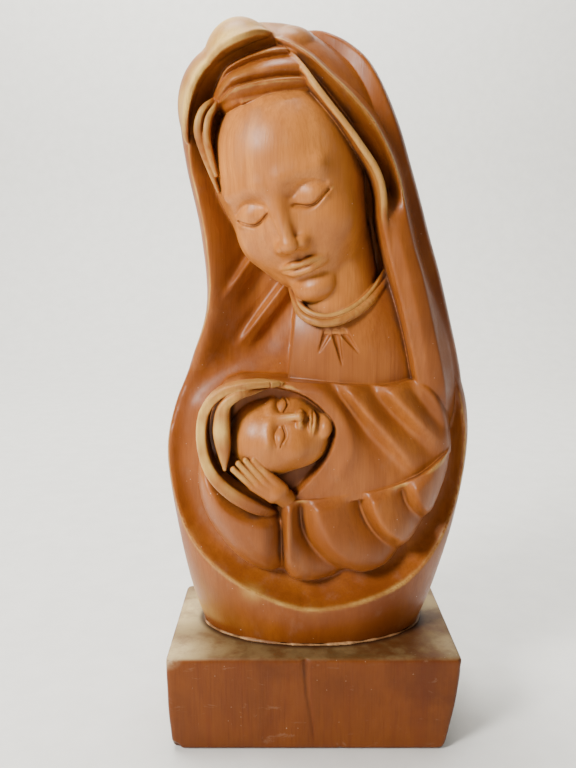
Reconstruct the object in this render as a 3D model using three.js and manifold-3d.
// A carved wooden madonna with child on a block plinth: a hooded mantle that opens like a pod,
// with a leaning head above and a swaddled child below. Millimetres, +Z up, the front faces -Y.
// The origin is the centre of the plinth's underside.
import * as THREE from "three";
import { mergeVertices } from "three/addons/utils/BufferGeometryUtils.js";
import Module from "manifold-3d";

const wasm = await Module();
wasm.setup();

// Driving dimensions.
const GAP = 0.3; // clearance between neighbouring carved forms
const PLINTH = { width: 104, depth: 62, height: 35, leanLeft: 2, leanRight: 6, edge: 1.2 };
const DOWEL = { radius: 4, length: 24, spacing: 32, y: 4 };
const BEAD = { radius: 0.8, height: 0.7 }; // the line of dried glue round the foot
const WIDEST_Y = 3; // depth at which the mantle is widest
const HEAD = { centre: [-6, -3, 191], radii: [26, 24, 39], tilt: -18, turn: -20, bow: 12 };
const CHILD = { centre: [-12, -15, 112], radii: [13.5, 12.5, 17.5], tilt: -86, turn: 40, bow: 0 };
const CAVITY = { x: 0, z: 150, floor: 9, power: 2, frontReach: 1.35, flare: 0.9, capY: -62 };

// Outer outline of the mantle, from the foot up: height, left, right, front, back.
const MANTLE_ROWS = [
  [35, -41, 41, -21, 27],
  [50, -46, 46.5, -24, 28],
  [75, -51, 53.5, -26, 29],
  [100, -54, 58, -26, 30],
  [118, -51, 57, -25, 30],
  [135, -44, 52, -24, 30],
  [155, -38.5, 47.5, -23, 30],
  [180, -40, 40, -22, 30],
  [205, -45, 31, -21, 29],
  [222, -46.5, 23.5, -19, 28],
  [236, -41, 14, -16, 25],
  [245, -34, 0, -10, 18],
  [250, -27, -12, -3, 10],
];

// Front outline of the mantle's opening, counter-clockwise from the foot: x, z.
const OPENING = [
  [-3, 50], [25, 55], [43, 72], [51.5, 91], [52.5, 108], [49, 126], [43, 145], [36, 168],
  [29, 192], [17, 215], [2, 233], [-14, 240], [-30, 236], [-41, 222], [-42.5, 204], [-38, 180],
  [-36.5, 155], [-41.5, 138], [-49, 120], [-52, 103], [-49, 86], [-41, 69], [-24, 55],
];

const WOOD = { color: 0xa8622c, roughness: 0.45, metalness: 0 };
const FINISHES = {
  plinth_wood: { color: 0x8a5a2c, roughness: 0.6, metalness: 0 },
  mantle_wood: WOOD,
  skin_wood: { color: 0xc27a3c, roughness: 0.35, metalness: 0 },
  cloth_wood: { color: 0xb06a30, roughness: 0.42, metalness: 0 },
  worn_wood: { color: 0xd2a45c, roughness: 0.5, metalness: 0 },
  dowel_wood: { color: 0xc9a87a, roughness: 0.8, metalness: 0 },
};

const radians = THREE.MathUtils.degToRad;

// Moves each vertex of a geometry to where `place` puts it, and returns the closed solid.
function shaped(geometry, place) {
  const bare = geometry.clone();
  bare.deleteAttribute("normal");
  bare.deleteAttribute("uv");
  const position = bare.getAttribute("position");
  const point = new THREE.Vector3();
  for (let i = 0; i < position.count; i++) {
    place(point.fromBufferAttribute(position, i));
    position.setXYZ(i, point.x, point.y, point.z);
  }
  const merged = mergeVertices(bare, 1e-4);
  return new wasm.Manifold(
    new wasm.Mesh({
      numProp: 3,
      vertProperties: merged.attributes.position.array,
      triVerts: new Uint32Array(merged.index.array),
    }),
  );
}

// A stack of ellipses, each row holding height, left, right, front and back.
function column(rows, { grow = 0, sides = 32, steps = 22, middleY = WIDEST_Y } = {}) {
  const leftFront = new THREE.CatmullRomCurve3(
    rows.map(([z, left, , front]) => new THREE.Vector3(left, front, z)), false, "catmullrom", 0.5);
  const rightBack = new THREE.CatmullRomCurve3(
    rows.map(([z, , right, , back]) => new THREE.Vector3(right, back, z)), false, "catmullrom", 0.5);
  return shaped(new THREE.CylinderGeometry(1, 1, 1, sides, steps), (p) => {
    const along = p.y + 0.5;
    const low = leftFront.getPoint(along);
    const high = rightBack.getPoint(along);
    const [across, ahead] = [p.x, p.z];
    const reach = ahead > 0 ? middleY - low.y : high.y - middleY;
    p.set(
      (low.x + high.x) / 2 + across * ((high.x - low.x) / 2 + grow),
      middleY - ahead * (reach + grow),
      low.z + (along > 0.5 ? grow : -grow) * (Math.abs(along - 0.5) > 0.499 ? 1 : 0),
    );
  });
}

// A tapering roll of cloth or hair along a curve. Each station holds x, y, z, half-width and half-depth.
function roll(stations, { grow = 0, sides = 8, steps = 10, blunt = 0.45 } = {}) {
  const path = new THREE.CatmullRomCurve3(
    stations.map(([x, y, z]) => new THREE.Vector3(x, y, z)), false, "catmullrom", 0.5);
  const size = new THREE.CatmullRomCurve3(
    stations.map(([, , , width, depth]) => new THREE.Vector3(width, depth, 0)), false, "catmullrom", 0.5);
  const front = new THREE.Vector3(0, -1, 0);
  return shaped(new THREE.SphereGeometry(1, sides, steps), (p) => {
    const along = Math.acos(THREE.MathUtils.clamp(p.y, -1, 1)) / Math.PI;
    const ring = Math.hypot(p.x, p.z);
    const fullness = ring < 1e-6 ? 0 : ring ** blunt / ring;
    const centre = path.getPoint(along);
    const tangent = path.getTangent(along);
    const side = new THREE.Vector3().crossVectors(front, tangent).normalize();
    const out = new THREE.Vector3().crossVectors(tangent, side).normalize();
    const half = size.getPoint(along);
    const [across, ahead] = [p.x * fullness * (half.x + grow), p.z * fullness * (half.y + grow)];
    p.copy(centre).addScaledVector(side, across).addScaledVector(out, ahead);
    if (ring < 1e-6) p.addScaledVector(tangent, along < 0.5 ? -grow : grow);
  });
}

// An ellipsoid with its own turn, in degrees about Y (tilt), Z (turn) and X (bow).
function egg(
  { centre, radii, tilt = 0, turn = 0, bow = 0 },
  { grow = 0, sides = 14, steps = 10, taper = 0 } = {},
) {
  const frame = framed({ centre, tilt, turn, bow });
  return shaped(new THREE.SphereGeometry(1, sides, steps), (p) => {
    const height = p.y;
    const jaw = height < 0 ? 1 - taper * height * height : 1;
    p.set(p.x * (radii[0] * jaw + grow), p.z * (radii[1] * (1 + jaw) / 2 + grow), height * (radii[2] + grow));
    p.y = -p.y;
    p.applyMatrix4(frame);
  });
}

function framed({ centre, tilt = 0, turn = 0, bow = 0 }) {
  return new THREE.Matrix4()
    .makeTranslation(...centre)
    .multiply(new THREE.Matrix4().makeRotationY(radians(tilt)))
    .multiply(new THREE.Matrix4().makeRotationZ(radians(turn)))
    .multiply(new THREE.Matrix4().makeRotationX(radians(bow)));
}

// A head in its own frame: an egg with a narrow jaw, a nose, lips and a chin.
function head(pose, scale, { grow = 0 } = {}) {
  const [wide, deep, tall] = pose.radii;
  const frame = framed(pose);
  const feature = (centre, radii) =>
    egg(
      { centre: new THREE.Vector3(...centre).multiplyScalar(scale).applyMatrix4(frame).toArray(),
        radii: radii.map((r) => r * scale), tilt: pose.tilt, turn: pose.turn, bow: pose.bow },
      { grow, sides: 8, steps: 6 },
    );
  const front = -deep / scale;
  return egg({ ...pose, radii: [wide, deep, tall] }, { grow, sides: 16, steps: 12, taper: 0.3 })
    .add(feature([0, front + 1.5, -6], [3.6, 6, 10]))
    .add(feature([0, front + 5, -19], [7, 4, 3.4]))
    .add(feature([0, front + 10, -29], [9, 7, 7]));
}

// The hollow of the mantle: its rim follows OPENING, and it is a bowl behind that rim.
function mantleHollow() {
  const rim = new THREE.CatmullRomCurve3(
    OPENING.map(([x, z]) => new THREE.Vector3(x - CAVITY.x, 0, z - CAVITY.z)), true, "catmullrom", 0.5);
  const shares = [CAVITY.frontReach, 1, 0.9, 0.78, 0.6, 0.35];
  const rimDepth = (x, z) => {
    const i = MANTLE_ROWS.findIndex((row) => row[0] >= z);
    const [above, below] = [MANTLE_ROWS[i < 1 ? 1 : i], MANTLE_ROWS[i < 1 ? 0 : i - 1]];
    const share = (z - below[0]) / (above[0] - below[0]);
    const [left, right, front] = [1, 2, 3].map((k) => THREE.MathUtils.lerp(below[k], above[k], share));
    const across = THREE.MathUtils.clamp((2 * x - left - right) / (right - left), -1, 1);
    return WIDEST_Y - (WIDEST_Y - front) * Math.sqrt(1 - across * across);
  };
  const rings = shares.length - 1;
  return shaped(new THREE.CylinderGeometry(1, 1, 1, 40, rings), (p) => {
    const ring = Math.round((0.5 - p.y) * rings);
    if (Math.hypot(p.x, p.z) < 1e-6) {
      p.set(CAVITY.x, ring === 0 ? CAVITY.capY : CAVITY.floor, CAVITY.z);
      return;
    }
    const edge = rim.getPoint((Math.atan2(p.x, p.z) / (2 * Math.PI) + 1) % 1);
    const share = shares[ring];
    const atRim = rimDepth(edge.x + CAVITY.x, edge.z + CAVITY.z);
    const depth = share > 1
      ? atRim - (share - 1) * Math.hypot(edge.x, edge.z) * CAVITY.flare
      : CAVITY.floor - (CAVITY.floor - atRim) * share ** CAVITY.power;
    p.set(CAVITY.x + edge.x * share, depth, CAVITY.z + edge.z * share);
  });
}

function box([x0, y0, z0], [x1, y1, z1]) {
  return shaped(new THREE.BoxGeometry(x1 - x0, y1 - y0, z1 - z0), (p) => {
    p.add(new THREE.Vector3((x0 + x1) / 2, (y0 + y1) / 2, (z0 + z1) / 2));
  });
}

function dowel(side, { grow = 0 } = {}) {
  const { radius, length, spacing, y } = DOWEL;
  return shaped(new THREE.CylinderGeometry(radius + grow, radius + grow, length + 2 * grow, 16), (p) => {
    p.set((side * spacing) / 2 + p.x, y - p.z, PLINTH.height + p.y);
  });
}

// A block whose right side, and to a lesser degree its left, leans in towards the foot.
function plinth() {
  const { width, depth, height, leanLeft, leanRight, edge } = PLINTH;
  const outline = new THREE.Shape();
  const [w, d] = [width / 2 - edge, depth / 2 - edge];
  outline.moveTo(-w, -d).lineTo(w, -d).lineTo(w, d).lineTo(-w, d).closePath();
  const block = new THREE.ExtrudeGeometry(outline, {
    depth: height - 2 * edge, steps: 3,
    bevelEnabled: true, bevelThickness: edge, bevelSize: edge, bevelSegments: 2,
  });
  return shaped(block, (p) => {
    p.z += edge;
    const lean = ((height - p.z) / height) ** 1.6;
    p.x += lean * (p.x < 0 ? leanLeft : -leanRight) * (Math.abs(p.x) / (width / 2));
  });
}

// A thin ring of glue squeezed out on the plinth, just outside the foot of the mantle.
function glueBead() {
  const [, left, right, front, back] = MANTLE_ROWS[0];
  return shaped(new THREE.TorusGeometry(1, BEAD.radius / 10, 4, 40), (p) => {
    const round = Math.atan2(p.y, p.x);
    const out = GAP + BEAD.radius + (Math.hypot(p.x, p.y) - 1) * 10;
    const reach = Math.sin(round) > 0 ? back - WIDEST_Y : WIDEST_Y - front;
    p.set(
      (left + right) / 2 + Math.cos(round) * ((right - left) / 2 + out),
      WIDEST_Y + Math.sin(round) * (reach + out),
      PLINTH.height + GAP / 10 + Math.max(0, p.z * 10 + BEAD.height / 2),
    );
  });
}

function hoodLobe({ grow = 0 } = {}) {
  const faceOpening = egg({ centre: [-12, -19, 211], radii: [29, 21, 29] });
  return egg({ centre: [-24, -1, 229], radii: [22.5, 24, 23] }, { grow, sides: 18, steps: 12 })
    .subtract(faceOpening);
}

function bodice({ grow = 0 } = {}) {
  return column(
    [[119, -9, 40, -17, 12], [132, -9, 38, -18, 12], [146, -8, 33, -17, 12], [156, -6, 26, -13, 12]],
    { grow, sides: 16, steps: 5, middleY: -2 },
  );
}

function neck({ grow = 0 } = {}) {
  return column(
    [[145, -6, 24, -13, 12], [153, -5, 21, -14, 12], [166, -6, 20, -15, 12], [176, -8, 20, -15, 12]],
    { grow, sides: 14, steps: 4, middleY: -1 },
  );
}

// The blanket over the child's body, with three folds fanning down from the child's chin.
function blanket({ grow = 0 } = {}) {
  const folds = [
    [[4, -21, 127, 1.5, 3], [13, -25, 121, 2.6, 4], [22, -26, 111, 2.8, 4], [32, -23, 101, 1.5, 3]],
    [[17, -21, 128, 1.5, 3], [25, -24, 121, 2.6, 4], [34, -23, 113, 2.4, 4], [41, -19, 106, 1.5, 3]],
    [[28, -19, 129, 1.5, 3], [36, -20, 125, 2.2, 4], [43, -18, 119, 1.6, 4], [47, -14, 113, 1, 3]],
  ];
  const body = egg({ centre: [18, -6, 110], radii: [34, 18.5, 25] }, { grow, sides: 18, steps: 12 });
  return folds
    .reduce((solid, fold) => solid.add(roll(fold, { grow, sides: 6, steps: 8 })), body)
    .intersect(box([-20, -40, 87], [60, 20, 130]));
}

// The rolls of cloth and hair, those in front first. Each station holds x, y, z, half-width, half-depth.
const rolls = {
  child_hand: ["skin_wood", [
    [-3, -22, 90, 4, 3], [-11, -27, 95, 4, 3.5], [-18, -28, 99.5, 4, 3],
    [-25, -26, 104, 2.5, 2.5],
  ]],
  hair_band_top: ["mantle_wood", [
    [-34, -13, 226, 2, 4], [-23, -16, 233, 3, 5], [-12, -17, 235, 3, 5], [0, -15, 232, 2, 4],
  ]],
  hair_band_middle: ["mantle_wood", [
    [-33, -15, 222, 2, 4], [-24, -19, 228, 2.6, 5], [-12, -21, 230, 2.6, 5],
    [0, -19, 228, 2, 4],
  ]],
  hair_band_low: ["mantle_wood", [
    [-33, -17, 218, 2, 4], [-24, -21, 223, 2, 4], [-13, -23, 225, 2, 4], [0, -21, 225, 1.5, 4],
  ]],
  hair_side_lock: ["mantle_wood", [
    [-33, -12, 223, 2, 4], [-37, -12, 217, 3, 6], [-38, -12, 208, 3.2, 6],
    [-35, -12, 196, 2, 5],
  ]],
  child_hair_band: ["worn_wood", [
    [-24, -20, 127, 1.8, 4], [-30, -22, 121, 2.4, 5], [-32, -22, 112, 2.6, 5],
    [-29, -22, 103, 2, 4],
  ]],
  child_hood_band: ["worn_wood", [
    [-6, -18, 129.5, 1.5, 3], [-20, -21, 129.5, 2, 5], [-32, -20, 125, 2.4, 6],
    [-38, -19, 114, 2.6, 6], [-36, -20, 102, 2.6, 6], [-27, -22, 94, 2.6, 6],
    [-14, -20, 89.5, 2, 5],
  ]],
  blanket_roll: ["cloth_wood", [
    [-6, -18, 129, 2, 4], [4, -21, 127, 3.4, 6], [10, -22, 119, 3.8, 6],
    [9.5, -22, 109, 3.8, 6], [5, -21, 100, 3.4, 6], [-2, -18, 93, 2, 4],
  ]],
  collar_band: ["worn_wood", [
    [-6, -9, 159, 1.2, 2.4], [-5, -14, 152, 1.5, 3], [3, -18, 149, 1.5, 3],
    [12, -17, 151, 1.5, 3], [19, -14, 156, 1.5, 3], [24, -9, 163, 1.2, 2.4],
  ]],
  veil_edge_right: ["worn_wood", [
    [-10, -17, 239, 2, 5], [-2, -19, 228, 2.2, 6], [7, -19, 215, 2.2, 6],
    [15, -18, 204, 2.4, 6], [23, -15, 192, 2, 5],
  ]],
  veil_fall_right: ["cloth_wood", [
    [23, -11, 196, 3, 5], [26, -15, 178, 4.6, 7], [30, -17, 163, 5, 8], [35, -18, 147, 5, 8],
    [41, -17, 130, 4.6, 8], [47, -12, 112, 3.4, 6],
  ]],
  veil_fall_left: ["cloth_wood", [
    [-43, -5, 214, 2, 4], [-41, -5, 200, 2.6, 5], [-37, -4, 183, 2.8, 5], [-35, -3, 165, 3, 5],
    [-36, -3, 148, 3, 5], [-41, -3, 134, 2, 4],
  ]],
  veil_pleat_upper: ["mantle_wood", [
    [-17, 3, 182, 2, 5], [-25, 2, 169, 3, 6], [-32, 1, 158, 2, 5],
  ]],
  veil_pleat_lower: ["mantle_wood", [
    [-7, 2, 167, 2, 5], [-17, 1, 152, 3, 6], [-28, 1, 138, 2, 5],
  ]],
  veil_fold_outer: ["cloth_wood", [
    [-14, -4, 243, 3, 6], [-4, -10, 242, 5, 8], [8, -13, 233, 5.4, 9], [20, -13, 219, 5.4, 9],
    [29, -12, 200, 5, 9], [35, -11, 180, 4.6, 9], [41, -10, 158, 4.4, 9], [48, -8, 132, 3, 7],
  ]],
  veil_fold_back: ["mantle_wood", [
    [-6, 7, 243, 3, 6], [9, 8, 236, 6, 10], [20, 8, 223, 7, 12], [28, 8, 206, 6.4, 12],
    [34, 8, 186, 5, 10], [39, 8, 168, 3, 7],
  ]],
  sleeve_shoulder: ["cloth_wood", [
    [-37, -10, 101, 3, 6], [-34, -12, 89, 9, 12], [-25, -13, 77, 14, 13], [-14, -10, 61, 8, 9],
  ]],
  sleeve_pleat_a: ["cloth_wood", [
    [-6, -16, 93, 3, 6], [-8, -18, 82, 4, 8], [-8, -17, 70, 5, 8], [-6, -10, 57, 4, 5],
  ]],
  sleeve_pleat_b: ["cloth_wood", [
    [2, -15, 93, 8, 7], [5, -17, 82, 9.6, 9], [8, -16, 70, 10, 9], [11, -9, 57, 6, 5],
  ]],
  sleeve_pleat_c: ["cloth_wood", [
    [18, -14, 96, 8, 7], [22, -17, 86, 9.6, 9], [25, -16, 75, 9.6, 9], [29, -9, 63, 6, 5],
  ]],
  sleeve_pleat_d: ["cloth_wood", [
    [33, -13, 103, 7, 7], [36, -16, 95, 9, 9], [39, -14, 85, 8, 9], [42, -8, 74, 5, 5],
  ]],
};

// Every form, those in front first: each one is cut clear of those before it.
const forms = [
  ["dowel_left", "dowel_wood", (o) => dowel(-1, o)],
  ["dowel_right", "dowel_wood", (o) => dowel(1, o)],
  ["madonna_head", "skin_wood", (o) => head(HEAD, 1, o)],
  ["child_head", "skin_wood", (o) => head(CHILD, 0.45, o)],
  ...Object.entries(rolls).map(([name, [finish, stations]]) => [name, finish, (o) => roll(stations, o)]),
  ["hood_lobe", "worn_wood", hoodLobe],
  ["neck", "skin_wood", neck],
  ["bodice", "cloth_wood", bodice],
  ["blanket", "cloth_wood", blanket],
  ["mantle", "mantle_wood", () => column(MANTLE_ROWS).subtract(mantleHollow())],
  ["plinth", "plinth_wood", plinth],
  ["glue_bead", "worn_wood", glueBead],
];

// The largest connected body of a solid, so that a cut leaves no loose slivers.
function largest(solid) {
  return solid.decompose().reduce((a, b) => (b.volume() > a.volume() ? b : a));
}

function meshOf(name, finish, solid) {
  const mesh = solid.getMesh();
  const points = new Float32Array(mesh.numVert * 3);
  for (let i = 0; i < mesh.numVert; i++)
    points.set(mesh.vertProperties.subarray(i * mesh.numProp, i * mesh.numProp + 3), i * 3);
  const geometry = new THREE.BufferGeometry()
    .setAttribute("position", new THREE.BufferAttribute(points, 3))
    .setIndex(new THREE.BufferAttribute(new Uint32Array(mesh.triVerts), 1));
  geometry.computeVertexNormals();
  const made = new THREE.Mesh(geometry, new THREE.MeshStandardMaterial(FINISHES[finish]));
  made.name = name;
  return made;
}

const RESTING = ["mantle", "plinth", "glue_bead"]; // these meet face to face and cut nothing
const statue = new THREE.Group();
const cutters = [];
for (const [name, finish, make] of forms) {
  const solid = cutters.reduce((left, cutter) => left.subtract(cutter), make({}));
  statue.add(meshOf(name, finish, largest(solid)));
  if (!RESTING.includes(name)) cutters.push(make({ grow: GAP }));
}

export default statue;
